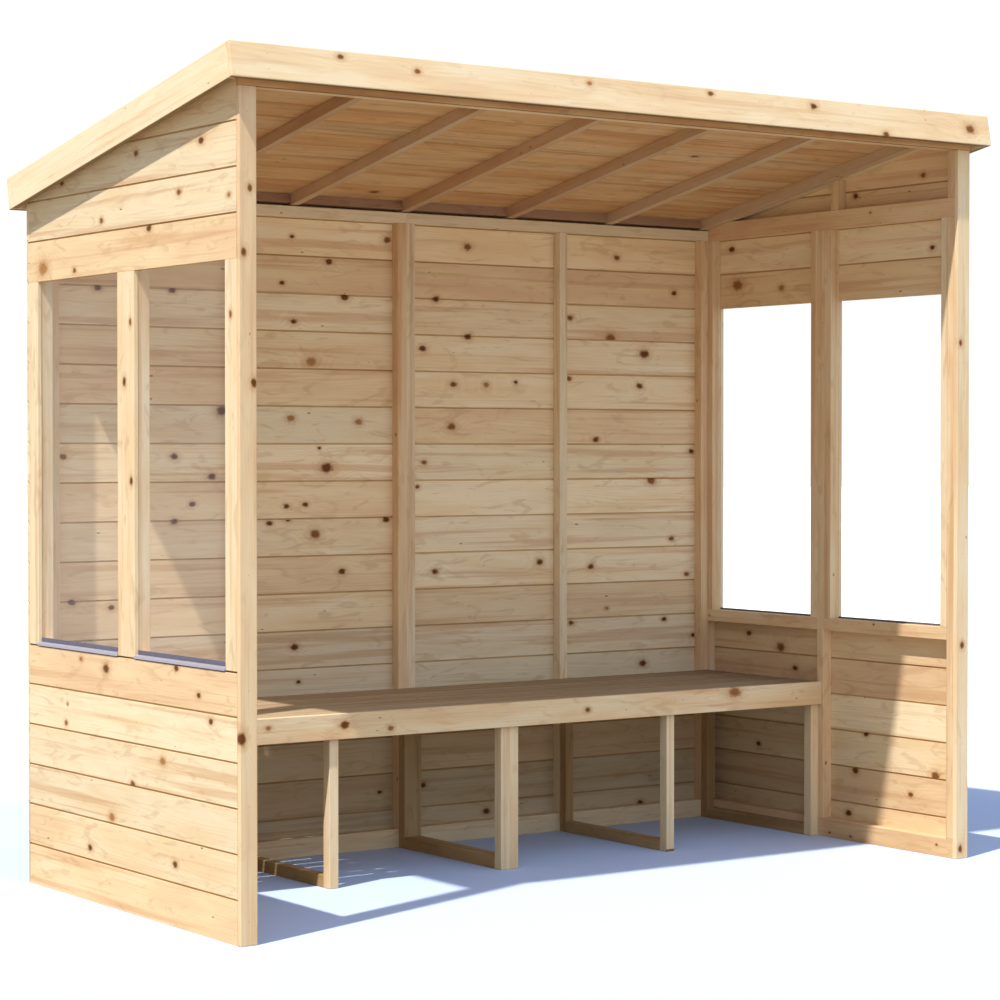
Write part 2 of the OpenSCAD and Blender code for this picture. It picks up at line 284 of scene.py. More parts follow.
    # fibres change the tone, the sheen and the surface very slightly
    fibre = noise["fibre"]
    start, end = figure["fibre"][-1]
    value = addNode(tree, "ShaderNodeMapRange",
                    {0: fibre, 1: start, 2: end, 3: 0.97, 4: 1.03}).outputs[0]
    value = addNode(tree, "ShaderNodeMath", {0: board.outputs["Alpha"], 1: value},
                    operation="MULTIPLY").outputs[0]
    colour = addNode(tree, "ShaderNodeHueSaturation",
                     {"Value": value, "Color": colour}).outputs[0]
    relief = addNode(tree, "ShaderNodeMath", {0: late.outputs[0], 1: 0.4, 2: fibre},
                     operation="MULTIPLY_ADD").outputs[0]
    bump = addNode(tree, "ShaderNodeBump",
                   {"Height": relief, "Strength": 0.2, "Distance": 0.0005}).outputs[0]
    rough = addNode(tree, "ShaderNodeMapRange", {
        0: fibre, 3: look["rough"] - 0.08, 4: look["rough"] + 0.08}).outputs[0]
    shader = addNode(tree, "ShaderNodeBsdfPrincipled", {
        "Base Color": colour, "Roughness": rough, "Normal": bump, "IOR": 1.5,
        "Specular IOR Level": 0.12})
    addNode(tree, "ShaderNodeOutputMaterial", {0: shader.outputs[0]})
    return material


# tones run from grey-olive through cream and gold to pinkish brown
spruce = {
    "tones": ("#E6D0A8", "#F5E1BD", "#EFD3A7", "#E6C29A"),
    "late": "#CFA074", "smear": "#BE9568", "resin": "#B97F4F", "halo": "#C08C5C",
    "knot": "#6A3D16", "redKnot": "#AE7846",
    "wander": 0.045, "taper": 0.012, "ringPitch": 0.0055, "rings": 0.24, "drift": 0.2,
    "curl": 0.3, "band": 0.5, "streak": 0.25, "pins": 0.8, "rough": 0.62, "knots": 4,
}
wallWood = softwoodMaterial("PlanedSpruceBoards", dict(spruce, knots=7))
roofWood = softwoodMaterial("SpruceRoofBoards", dict(
    spruce, tones=("#BC9E74", "#DEB888", "#D5A470", "#C28C62"), late="#AC7C50", smear="#98704A",
    resin="#8F5F3C", halo="#906844"))
# painted shade: the slats are a darker grey-brown for the shade they lie in
seatShadeWood = softwoodMaterial("PlanedSpruceSlatsPaintedShade", dict(
    spruce, tones=("#9B8F7A", "#AF9C7F", "#A88F6E", "#9C8068"), late="#937558", smear="#897056"))
frameWood = softwoodMaterial("SawnSpruceFraming", dict(
    spruce, tones=("#DDCCAC", "#F0DCB8", "#E9C89C", "#DAB08D"), rough=0.72, knots=5))
# painted shade: a darker copy of the framing wood, for the rafters in the shade under the roof
rafterShadeWood = softwoodMaterial("SawnSpruceRaftersPaintedShade", dict(
    spruce, tones=("#B89F7E", "#D0B494", "#C8A580", "#B69072"), rough=0.75))
# offcuts between the rafters, a duller brown
blockWood = softwoodMaterial("DullSpruceBlocks", dict(
    spruce, tones=("#A6866C", "#AF8C70", "#A98268", "#9C765E"), late="#86624C", smear="#7C5A46",
    rough=0.8))
trimWood = softwoodMaterial("PlanedSpruceTrim", dict(
    spruce, tones=("#E8D5B1", "#F7E3C0", "#F2D5A9", "#E8C198"), curl=0.15, band=0.3,
    rings=0.18, streak=0.18, knots=7))
# painted shade: the faces inside the joints, a little darker than the planed faces
jointShadeWood = softwoodMaterial("SawnJointFacesPaintedShade", dict(
    spruce, tones=("#D6B684", "#DAB680", "#D2A970", "#C69B68"), late="#B8905E", smear="#AC8452",
    rough=0.85))
# painted shade: the bench's back frame under the seat, darker, and dull
benchShadeWood = softwoodMaterial("SpruceFramingPaintedShade", dict(
    spruce, tones=("#B39C78", "#BFA37A", "#B8966A", "#AB885F"), late="#94734C", smear="#8A6B47",
    rough=0.8))
# painted shade: the sawn undersides of the fascia, barge and corner boards, and of the apron and
# front beam, a darker brown
undersideShadeWood = softwoodMaterial("SawnUndersidesPaintedShade", dict(
    spruce, tones=("#8C7250", "#967A54", "#906E48", "#836040"), late="#6E5030", smear="#64482C",
    rough=0.85))
print("wood materials made")

# hue runs from grey 0 to pink-brown 1; a wall's boards differ more than the other wood, and
# where a wall has an inner face, its outer one keeps a fifth of the brightness's change
boardTones = {
    "outerShare": 0.2,
    "anyHue": (0.3, 0.75),
    "anyLight": (0.96, 1.03),
    "wallHue": (0.3, 0.9),
    "paintedShade": 0.4,     # how much darker the painted shade makes an inner face at the ground
    "paintedShadeTop": 0.9,  # the painted shade thins out up to this height
}


def addWoodLayers(shape):
    # made before any vertex is kept in hand, because a new layer moves them all
    shape.verts.layers.float_vector.new("grain")
    for name in ("board",) + knotNames:
        shape.verts.layers.float_color.new(name)


def markWood(shape, verts, toGrain, rng, knots=(), tone=None, fade=(1.0, 1.0), inner=0):
    # writes the grain's own coordinates, the piece's seeds and tone, and up to seven knots; the
    # brightness may fade from the low end of the grain to the high end, which paints shade and
    # light along it, and it counts on the inner face alone when a board has one, 1 for its high
    # side and -1 for its low
    grain = shape.verts.layers.float_vector["grain"]
    layers = [shape.verts.layers.float_color[n] for n in ("board",) + knotNames]
    warm, light = tone or (rng.uniform(*boardTones["anyHue"]),
                           rng.uniform(*boardTones["anyLight"]))
    rows = [(rng.random(), rng.random(), warm, light)]
    rows += [(u, v, size / knotShape["spread"], kind)
             for u, v, size, kind in knots[: len(knotNames)]]
    rows += [(9.0, 9.0, 0.001, 0.0)] * (1 + len(knotNames) - len(rows))  # far off the piece
    for vert in verts:
        place = vert[grain] = toGrain @ vert.co
        for layer, row in zip(layers, rows):
            vert[layer] = row
        outer = place.z * inner < 0
        shade = 1 + (light - 1) * boardTones["outerShare"] if outer else light * fade[place.x > 0]
        vert[layers[0]] = rows[0][:3] + (shade,)


def addPiece(name, shape, materials, node=None):
    mesh = bpy.data.meshes.new(name)
    shape.to_mesh(mesh)
    shape.free()
    piece = bpy.data.objects.new(name, mesh)
    scene.collection.objects.link(piece)
    for material in materials:
        mesh.materials.append(material)
    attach(piece, "root")
    if node:
        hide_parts(node)


# tongued and grooved boards, laid with a narrow open joint on the face
boards = {
    "cover": 0.113,
    "gap": 0.0043,
    "arris": 0.0009,
    "tongue": 0.0062,  # thickness of the tongue
    "reach": 0.0075,   # length of the tongue past the board's edge
    "taper": 0.8,      # the tongue's tip against its root
    "play": 0.0007,    # room round the tongue in its groove
    "least": 0.01,     # no board starts closer than this to the wall's lower edge
    "looseKnots": 4,   # a board gets random knots only up to this many
    "looseSize": (7, 20),
    "looseKinds": (0.0, 0.0, 0.3, 1.0),
}


def boardPart(span, low, high, faces, tongue, groove):
    # one board's section, drawn at the low end and extruded to the high end
    part = bmesh.new()
    addWoodLayers(part)
    mid, half = sum(faces) / 2, boards["tongue"] / 2
    slot, depth = half + boards["play"], boards["reach"] - boards["gap"] + 2 * boards["play"]
    outline = [(low, faces[0])]
    if groove:
        outline += [(low, mid - slot), (low + depth, mid - slot),
                    (low + depth, mid + slot), (low, mid + slot)]
    outline += [(low, faces[1]), (high, faces[1])]
    if tongue:
        tip = high + boards["reach"]
        outline += [(high, mid + half), (tip, mid + half * boards["taper"]),
                    (tip, mid - half * boards["taper"]), (high, mid - half)]
    outline += [(high, faces[0])]
    ring = [part.verts.new((span[0], v, w)) for v, w in outline]
    part.faces.new(ring)
    corners = [vert for vert in ring if vert.co.z in faces or abs(vert.co.z - mid) > slot * 1.5]
    bmesh.ops.bevel(part, geom=corners, offset=boards["arris"], offset_type="OFFSET",
                    segments=2, profile=0.5, affect="VERTICES", material=-1)
    end = bmesh.ops.extrude_face_region(part, geom=part.faces[:])["geom"]
    bmesh.ops.translate(part, verts=[g for g in end if isinstance(g, bmesh.types.BMVert)],
                        vec=(span[1] - span[0], 0, 0))
    bmesh.ops.recalc_face_normals(part, faces=part.faces[:])
    for face in part.faces:  # painted shade: tongue, groove and edges show the darker wood of the joint
        if abs(face.normal.x) < 0.5:
            hidden = abs(face.calc_center_median().z - mid) < slot * 1.2
            face.material_index = int(hidden or abs(face.normal.y) > 0.8)
    return part


def layBoards(shape, plane, box, start, seed, knots=(), cut=None, loose=0.0, light=None,
              shadePainted=(0, 0), inner=0):
    # covers a box of the plane with boards from its low edge up, the first joint at start; the
    # shares give how much of the painted shade each end of a board gets
    rng, tint = random.Random(seed), random.Random(f"tones {seed}")
    cover, halfGap = boards["cover"], boards["gap"] / 2
    (uLow, vLow, wLow), (uHigh, vHigh, wHigh) = box
    joints = [start + cover * i for i in range(math.ceil((vHigh - start) / cover) + 1)]
    edges = [vLow] + [v for v in joints if vLow + boards["least"] < v < vHigh - 0.002] + [vHigh]
    last = len(edges) - 2
    for i in range(last + 1):
        low = edges[i] + (halfGap if i else 0)
        high = edges[i + 1] - (halfGap if i < last else 0)
        part = boardPart((uLow, uHigh), low, high, (wLow, wHigh), i < last, i > 0)
        if cut:
            every = part.verts[:] + part.edges[:] + part.faces[:]
            bmesh.ops.bisect_plane(part, geom=every, plane_co=cut[0], plane_no=cut[1],
                                   clear_outer=True)
            bmesh.ops.holes_fill(part, edges=[e for e in part.edges if e.is_boundary], sides=0)
        if part.faces:
            mid = Vector(((uLow + uHigh) / 2, (low + high) / 2, (wLow + wHigh) / 2))
            # a listed knot may lap over the board's edge by a third of its width
            mine = sorted(((u - mid.x, v - mid.y, size, kind) for u, v, size, kind in knots
                           if uLow < u < uHigh and low - size / 3000 < v < high + size / 3000),
                          key=lambda k: -k[2])
            while len(mine) < boards["looseKnots"] and rng.random() < loose:
                mine.append((rng.uniform(-0.48, 0.48) * (uHigh - uLow),
                             rng.uniform(-0.4, 0.4) * (high - low),
                             rng.uniform(*boards["looseSize"]), rng.choice(boards["looseKinds"])))
            tone = light and (tint.uniform(*boardTones["wallHue"]), tint.uniform(*light))
            # painted shade on the inner faces, deepest at the ground and thinning out upwards
            paintedShade = boardTones["paintedShade"] * max(0, 1 - mid.y / boardTones["paintedShadeTop"])
            markWood(part, part.verts, Matrix.Translation(-mid), rng, mine, tone,
                     [1 - share * paintedShade for share in shadePainted], inner)
            bmesh.ops.transform(part, matrix=plane, verts=part.verts)
        carrier = bpy.data.meshes.new("carrier")
        part.to_mesh(carrier)
        part.free()
        shape.from_mesh(carrier)
        bpy.data.meshes.remove(carrier)


# knots as (along the wall, height, millimetres across, 0 dark to 1 red-brown)
backKnots = [
    (0.86, 1.865, 9, 0), (0.99, 1.795, 14, 0), (0.825, 1.725, 10, 0), (1.045, 1.69, 16, 0),
    (0.865, 1.61, 12, 0), (0.855, 1.32, 15, 1), (1.095, 1.31, 14, 1), (0.98, 1.17, 24, 0),
    (0.955, 1.23, 7, 0), (0.84, 1.055, 12, 0), (0.905, 1.06, 11, 0), (0.845, 1.015, 10, 0),
    (0.78, 1.005, 12, 0), (1.195, 1.01, 15, 0), (0.94, 0.97, 20, 0.3), (1.035, 0.855, 15, 0),
    (0.867, 0.63, 15, 0), (0.88, 0.525, 9, 0), (1.17, 0.17, 9, 0), (1.2, 1.87, 16, 0.3),
    (0.215, 1.69, 14, 0), (0.455, 1.69, 13, 0), (0.62, 1.34, 22, 0), (0.105, 1.205, 13, 0.3),
    (0.46, 1.205, 14, 0), (0.585, 1.145, 15, 0), (0.52, 1.065, 12, 0), (0.46, 1.015, 13, 0),
    (0.13, 0.79, 14, 0), (0.255, 0.77, 12, 0), (0.33, 1.88, 14, 0.3), (0.3, 0.4, 16, 0),
    (1.38, 1.695, 14, 0), (1.5, 1.58, 15, 0), (1.33, 1.54, 15, 0), (1.445, 1.43, 14, 0.2),
    (1.57, 1.43, 12, 0.8), (1.685, 1.44, 9, 0), (1.335, 1.185, 12, 0.4), (1.31, 1.11, 10, 0.2),
    (1.375, 0.845, 14, 0), (1.78, 0.865, 15, 0), (1.33, 0.18, 13, 0), (1.57, 0.08, 14, 0),
    (2.09, 1.853, 13, 0.2), (2.33, 1.745, 14, 0), (1.9, 1.65, 13, 0.3), (2.065, 1.59, 20, 0.4),
    (2.205, 1.54, 21, 0), (2.185, 1.435, 14, 0), (1.895, 1.455, 12, 0.3), (2.005, 1.258, 13, 0),
    (2.405, 1.22, 13, 0), (2.235, 1.125, 20, 0.3), (2.32, 0.93, 12, 0.3), (1.985, 0.845, 14, 0),
    (2.385, 0.81, 12, 0.3), (2.29, 0.663, 12, 0), (1.905, 0.665, 12, 0.2), (2.415, 0.605, 12, 0),
    (2.2, 0.52, 17, 0), (2.19, 0.06, 14, 0),
]
leftKnots = [
    (1.09, 1.73, 30, 1), (0.894, 1.714, 12, 0.3), (0.458, 1.8, 15, 0), (0.73, 1.838, 12, 0.4),
    (0.295, 1.88, 13, 0.4), (0.53, 2.0, 13, 0.3), (0.178, 2.0, 15, 0), (0.97, 1.958, 12, 0.4),
    (0.71, 0.639, 20, 0), (0.86, 0.655, 11, 0.8), (0.314, 0.666, 13, 0), (0.196, 0.605, 11, 0),
    (0.133, 0.544, 13, 0), (0.953, 0.472, 12, 0.5), (0.39, 0.42, 16, 1), (0.557, 0.344, 14, 0.2),
    (0.678, 0.243, 17, 1), (0.808, 0.146, 14, 0), (0.322, 0.162, 14, 0), (0.565, 1.56, 12, 0.4),
    (0.6, 1.404, 13, 0), (0.561, 1.143, 13, 0), (0.03, 1.56, 12, 0.4),
]
rightKnots = [
    (0.17, 2.06, 12, 0.3), (0.47, 2.02, 14, 0), (1.07, 1.89, 15, 0), (1.04, 1.77, 26, 0.6),
    (0.82, 1.75, 15, 1), (0.13, 1.838, 12, 0), (0.98, 0.62, 14, 0), (0.82, 0.583, 22, 0.3),
    (0.75, 0.52, 13, 0), (0.417, 0.335, 13, 0), (0.11, 0.236, 20, 0.3), (0.464, 0.216, 16, 0),
    (0.93, 0.26, 12, 0), (0.217, 0.167, 12, 0.2), (0.496, 0.08, 15, 0), (0.03, 1.46, 11, 0.4),
]
# a wall's boards: the range of their brightness; the share of the painted shade at the front or
# left end and at the other, for the shade deepens behind the bench and not at the open front; and
# the inner face, 1 for the high side and -1 for the low, or 0 where both faces look alike
wallLooks = {
    "left": {"light": (0.95, 1.06), "shadePainted": (0, 0), "inner": 0},
    "right": {"light": (0.95, 1.14), "shadePainted": (0, 1), "inner": -1},
    "back": {"light": (0.95, 1.14), "shadePainted": (1, 1), "inner": 1},
}
deckNormal = Vector((math.sin(roofPitch), math.cos(roofPitch), 0))  # across a side wall's face
for side, knots, seed in (("left", leftKnots, 11), ("right", rightKnots, 29)):
    for part in ("lower", "upper"):
        node = side + "_" + part + "_cladding"
        box = localBox(node, sidePlane)
        slope = ((0, box[1][1], 0), deckNormal) if part == "upper" else None
        if part == "lower":  # a joint stays open under the upright strips
            box[1][1] -= boards["gap"]
        shape = bmesh.new()
        layBoards(shape, sidePlane, box, box[0][1], seed, knots, slope, 0.15,
                  **wallLooks[side])
        addPiece(side + "_" + part + "_boards", shape, [wallWood, jointShadeWood], node)
        seed += 1
    print(side, "wall boarded")

for side, seed in (("left", 53), ("right", 71)):
    node = "back_cladding_" + side
    shape = bmesh.new()
    layBoards(shape, backPlane, localBox(node, backPlane), 0.0, seed, backKnots, loose=0.15,
              **wallLooks["back"])
    addPiece("back_boards_" + side, shape, [wallWood, jointShadeWood], node)
print("back wall boarded")

shape = bmesh.new()
firstRoofJoint = 0.061  # down the slope from the fascia's top
layBoards(shape, roofPlane, localBox("roof_boards", roofPlane), firstRoofJoint, 83, loose=0.45)
addPiece("roof_deck_boards", shape, [roofWood, jointShadeWood], "roof_boards")
print("roof boarded")


def stickMiddle(verts):
    return [(min(v.co[i] for v in verts) + max(v.co[i] for v in verts)) / 2 for i in range(3)]


def islandsOf(shape):
    # sets of vertices, one for each separate stick, in the order of their places
    left, found = set(shape.verts), []
    while left:
        island, reach = set(), [left.pop()]
        while reach:
            vert = reach.pop()
            island.add(vert)
            for edge in vert.link_edges:
                other = edge.other_vert(vert)
                if other in left:
                    left.discard(other)
                    reach.append(other)
        found.append(island)
    return sorted(found, key=lambda isl: tuple(round(c, 3) for c in stickMiddle(isl)))


def stickAxes(verts):
    # the grain runs along the longest edge; the width is the next longest at right angles,
    # or the upright one where the section is nearly square
    edges = {e for v in verts for e in v.link_edges}
    lines = sorted(((e.verts[1].co - e.verts[0].co) for e in edges), key=lambda d: -d.length)
    along = lines[0].normalized()
    square = [d for d in lines if abs(d.normalized().dot(along)) < 0.05]
    across = max(square, key=lambda d: d.length * (1.3 if abs(d.z) > 0.7 * d.length else 1))
    across = across.normalized()
    turned = []
    for axis in (along, across):
        big = max(range(3), key=lambda i: abs(axis[i]))
        turned.append(axis * (1 if axis[big] > 0 else -1))
    turned.append(turned[0].cross(turned[1]))
    return Matrix(turned).to_4x4()


def mergedShape(node):
    # a CAD node's loose triangles joined into flat faces
    shape = bmesh.new()
    shape.from_mesh(nodes[node].data)
    bmesh.ops.remove_doubles(shape, verts=shape.verts, dist=1e-5)
    bmesh.ops.dissolve_limit(shape, angle_limit=math.radians(1), verts=shape.verts,
                             edges=shape.edges)
    return shape


def softenCorners(shape, arris, hairline=-1.0):
    # rounds every corner but those of a joint this close to the middle plane
    corners = [e for e in shape.edges if e.calc_face_angle(0.0) > math.radians(15)
               and max(abs(v.co.x) for v in e.verts) > hairline]
    bmesh.ops.bevel(shape, geom=corners, offset=arris, offset_type="OFFSET", segments=2,
                    profile=0.5, affect="EDGES", material=-1, clamp_overlap=True)


# two sticks spiked together in the middle of the arbor meet with a hairline
spiked = {"joint": 0.0012, "hairline": 0.0001, "plain": 0.001}


def planeTimber(node, name, material, arris, seed, knots=(), loose=0.3, under=None,
                fade=(1.0, 1.0)):
    # a CAD node's sticks with softened corners and grain that follows each one
    shape = mergedShape(node)
    for vert in shape.verts:
        if abs(vert.co.x) < spiked["joint"]:
            vert.co.x = math.copysign(spiked["hairline"], vert.co.x)
    softenCorners(shape, arris, spiked["plain"])
    addWoodLayers(shape)
    rng = random.Random(seed)
    for island in islandsOf(shape):
        toGrain = stickAxes(island) @ Matrix.Translation(-Vector(stickMiddle(island)))
        reach = [max(abs((toGrain @ v.co)[i]) for v in island) for i in range(3)]
        mine = []
        for x, y, z, size, kind in knots:  # one within 4 mm of a stick is its own
            at = toGrain @ (Vector((x, y, z)) + wallZero)
            if all(abs(at[i]) < reach[i] + 0.004 for i in range(3)):
                mine.append((at.x, at.y, size, kind))
        while not mine and rng.random() < loose or 0 < len(mine) < 4 and rng.random() < loose / 2:
            mine.append((rng.uniform(-0.95, 0.95) * reach[0], rng.uniform(-0.6, 0.6) * reach[1],
                         rng.uniform(5, 200 * reach[1]), rng.choice((0.0, 0.2, 1.0))))
        mine.sort(key=lambda k: -k[2])  # the largest are kept when there are too many
        markWood(shape, island, toGrain, rng, mine, fade=fade)
    # painted shade on the faces that look down
    if under:  # the faces that look down
        for face in shape.faces:
            face.material_index = int(face.normal.z < -0.9)
    addPiece(name, shape, [material] + ([under] if under else []), node)


# knots of the trim, bench and strips: (x, y, z) from the walls' corner, size and kind
trimKnots = [
    (0.272, -0.044, 2.205, 11, 0.2), (0.5, -0.05, 2.187, 10, 0.4), (1.05, -0.044, 2.2, 10, 1),
    (1.467, -0.044, 2.205, 11, 0.3), (1.845, -0.044, 2.198, 14, 0),
    (2.115, -0.05, 2.135, 13, 0.2), (2.46, -0.05, 2.175, 20, 0.3),
    (0.427, 0.592, 0.463, 10, 0.8), (0.672, 0.592, 0.458, 18, 0), (0.825, 0.592, 0.44, 11, 0.6),
    (1.52, 0.592, 0.452, 11, 0.3), (2.09, 0.592, 0.475, 24, 0.6),
    (0.006, 0.565, 1.56, 11, 0.4), (0.006, 0.6, 1.404, 14, 0), (0.006, 0.561, 1.143, 13, 0),
    (0.006, 0.03, 1.56, 11, 0.4), (2.49, 0.03, 1.46, 11, 0.4),
    (0.03, -0.008, 1.868, 11, 0.3), (0.012, -0.008, 1.71, 12, 0.2), (0.04, -0.008, 1.39, 13, 0),
    (0.006, -0.008, 0.513, 18, 0), (2.47, -0.008, 0.64, 12, 0.2), (2.46, -0.008, 1.544, 11, 0.3),
    (2.465, -0.008, 0.03, 12, 0.2), (2.44, -0.008, 0.165, 11, 0.4),
]
# material, slot, corner radius, how likely a random knot is, painted-shade wood of the faces that
# look down
timbers = {
    "studs": (frameWood, "frame_timber", 0.0015, 0.4, None),
    "rails": (frameWood, "frame_timber", 0.0015, 0.4, None),
    "rafters": (rafterShadeWood, "frame_timber", 0.0015, 0.3, None),
    "blocks": (blockWood, "frame_timber", 0.0015, 0.1, None),
    "trim": (trimWood, "trim_board", 0.002, 0.3, undersideShadeWood),
    "strip": (wallWood, "wall_board", 0.001, 0.2, None),
    "bench": (trimWood, "frame_timber", 0.002, 0.0, None),
    "shadePainted": (benchShadeWood, "frame_timber", 0.002, 0.0, None),
    "apron": (frameWood, "trim_board", 0.002, 0.3, undersideShadeWood),
    # painted shade: the front beam's trim takes the darker roof wood, for the shade under the
    # fascia
    "beam": (roofWood, "trim_board", 0.002, 0.3, undersideShadeWood),
    "seat": (seatShadeWood, "seat_board", 0.003, 0.7, None),
}
timberNodes = {
    "left_studs": "studs", "right_studs": "studs", "left_gable_studs": "studs",
    "right_gable_studs": "studs", "back_studs": "studs", "left_rails": "rails",
    "right_rails": "rails", "left_gable_rail": "rails", "right_gable_rail": "rails",
    "back_bottom_rails": "rails", "back_top_rails": "rails", "front_beam": "rails",
    "rafters": "rafters", "rafter_blocking": "blocks", "left_front_trim": "trim",
    "right_front_trim": "trim", "front_beam_trim": "beam", "front_fascia": "trim",
    "back_fascia": "trim", "left_barge_board": "trim", "right_barge_board": "trim",
    "bench_apron": "apron", "bench_front_legs": "bench", "bench_back_legs": "shadePainted",
    "bench_foot_rails": "shadePainted", "bench_top_rails": "bench", "bench_seat_boards": "seat",
    "left_window_strips": "strip", "right_window_strips": "strip",
}
seatPaintedLightShade = (1.25, 0.7)  # painted light on the seat's left end and painted shade towards its right end
for seed, (node, kind) in enumerate(timberNodes.items(), 101):
    material, slot, arris, loose, under = timbers[kind]
    planeTimber(node, node + "_planed", material, arris, seed, trimKnots, loose, under,
                seatPaintedLightShade if kind == "seat" else (1.0, 1.0))
print("timbers planed:", len(timberNodes))


# clear acrylic sheet, extruded: see-through, a faint cool haze and a soft reflection
acrylic, tree = newMaterial("ClearAcrylicSheet")
through = addNode(tree, "ShaderNodeBsdfTransparent", {"Color": hexColour("#FFFFFF")}).outputs[0]
haze = addNode(tree, "ShaderNodeBsdfDiffuse", {"Color": hexColour("#DDE2F2")}).outputs[0]
hazed = addNode(tree, "ShaderNodeMixShader", {0: 0.006, 1: through, 2: haze}).outputs[0]
gloss = addNode(tree, "ShaderNodeBsdfGlossy", {"Roughness": 0.04}).outputs[0]
fresnel = addNode(tree, "ShaderNodeFresnel", {"IOR": 1.28}).outputs[0]
rear = addNode(tree, "ShaderNodeNewGeometry").outputs["Backfacing"]
front = addNode(tree, "ShaderNodeMath", {0: 1.0, 1: rear}, operation="SUBTRACT").outputs[0]
mirror = addNode(tree, "ShaderNodeMath", {0: fresnel, 1: front}, operation="MULTIPLY").outputs[0]
glazing = addNode(tree, "ShaderNodeMixShader", {0: mirror, 1: hazed, 2: gloss}).outputs[0]
addNode(tree, "ShaderNodeOutputMaterial", {0: glazing})
for side in ("left", "right"):
    pane = nodes[side + "_window_panes"]
    pane.data.materials.clear()
    pane.data.materials.append(acrylic)

drip = {
    "arris": 0.0006,
    "lip": 0.0095,  # height of the lip; above it the strip is painted dark as shade, against the pane
    "streaks": (400, 6, 400),  # 2.5 mm wide and 170 mm long
    # repeats per metre of the mottle on the painted shade
    "paintedShade": 90.0,
}
# pale lavender-grey uPVC lip, matt, with faint streaks along the extrusion
pvc, tree = newMaterial("ExtrudedGreyPvc")
place = addNode(tree, "ShaderNodeTexCoord").outputs["Object"]
place = addNode(tree, "ShaderNodeMapping", {0: place, 3: drip["streaks"]}).outputs[0]
streaks = addNode(tree, "ShaderNodeTexNoise", {"Vector": place, "Scale": 1.0, "Detail": 2.0})
colour = addNode(tree, "ShaderNodeMix", {
    0: streaks.outputs[0], 6: hexColour("#9C99A8"), 7: hexColour("#ADA9B4")}, data_type="RGBA")
shader = addNode(tree, "ShaderNodeBsdfPrincipled",
                 {"Base Color": colour.outputs[2], "Roughness": 0.38, "IOR": 1.53})
addNode(tree, "ShaderNodeOutputMaterial", {0: shader.outputs[0]})
# painted shade: the strip above the lip in dark blue-grey, for the shade on its upper leg against
# the pane; matt, with a faint mottle
stripShade, tree = newMaterial("DripStripPaintedShade")
place = addNode(tree, "ShaderNodeTexCoord").outputs["Object"]
paintedShade = addNode(tree, "ShaderNodeTexNoise",
               {"Vector": place, "Scale": drip["paintedShade"], "Detail": 3.0})
colour = addNode(tree, "ShaderNodeMix", {
    0: paintedShade.outputs[0], 6: hexColour("#4E4C5C"), 7: hexColour("#686474")}, data_type="RGBA")
shader = addNode(tree, "ShaderNodeBsdfPrincipled",
                 {"Base Color": colour.outputs[2], "Roughness": 0.6, "IOR": 1.52})
addNode(tree, "ShaderNodeOutputMaterial", {0: shader.outputs[0]})

for side in ("left", "right"):
    node = side + "_drip_strips"
    shape = mergedShape(node)
    softenCorners(shape, drip["arris"])
    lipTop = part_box(node)[0].z + drip["lip"]
    # the faces above the lip take the painted shade
    for face in shape.faces:
        face.material_index = int(face.calc_center_median().z > lipTop)
    addPiece(side + "_drip_strips_extruded", shape, [pvc, stripShade], node)
print("panes and drip strips done")


# mineral felt in three lapped widths, held by clout nails
felt = {
    "laps": (0.43, 0.86),  # where each lower sheet starts, down the slope
    "lap": 0.075,
    "sheet": 0.0011,
    "hair": 0.0001,        # room between one sheet and the next
    "slope": (0.03, 0.01),  # a sheet rises onto the next between these, before its end
    "grit": 500.0,         # granules are 1 mm; drawn at 2 mm so that they show
    "patches": 3.0,        # a third of a metre
    "nailPitch": 0.1,
    "nailRadius": 0.0045,
    "nailProud": 0.0008,
    "nailSide": 0.02,      # from the side edges
    "nailEnds": 0.03,      # from the front and back edges
}
mineralFelt, tree = newMaterial("SlateMineralFelt")  # dull green-grey with a fine speckle
place = addNode(tree, "ShaderNodeTexCoord").outputs["Object"]
grit = addNode(tree, "ShaderNodeTexVoronoi", {"Vector": place, "Scale": felt["grit"]})
patch = addNode(tree, "ShaderNodeTexNoise",
                {"Vector": place, "Scale": felt["patches"], "Detail": 4.0})
speckle = addNode(tree, "ShaderNodeSeparateXYZ", {0: grit.outputs["Color"]}).outputs["X"]
colour = addNode(tree, "ShaderNodeMix", {
    0: speckle, 6: hexColour("#2F3432"), 7: hexColour("#626A66")}, data_type="RGBA")
colour = addNode(tree, "ShaderNodeMix", {
    0: patch.outputs[0], 6: colour.outputs[2], 7: hexColour("#454C49")}, data_type="RGBA")
bump = addNode(tree, "ShaderNodeBump",
               {"Height": grit.outputs["Distance"], "Strength": 0.5, "Distance": 0.001})
shader = addNode(tree, "ShaderNodeBsdfPrincipled", {
    "Base Color": colour.outputs[2], "Roughness": 0.9, "IOR": 1.5, "Normal": bump.outputs[0]})
addNode(tree, "ShaderNodeOutputMaterial", {0: shader.outputs[0]})

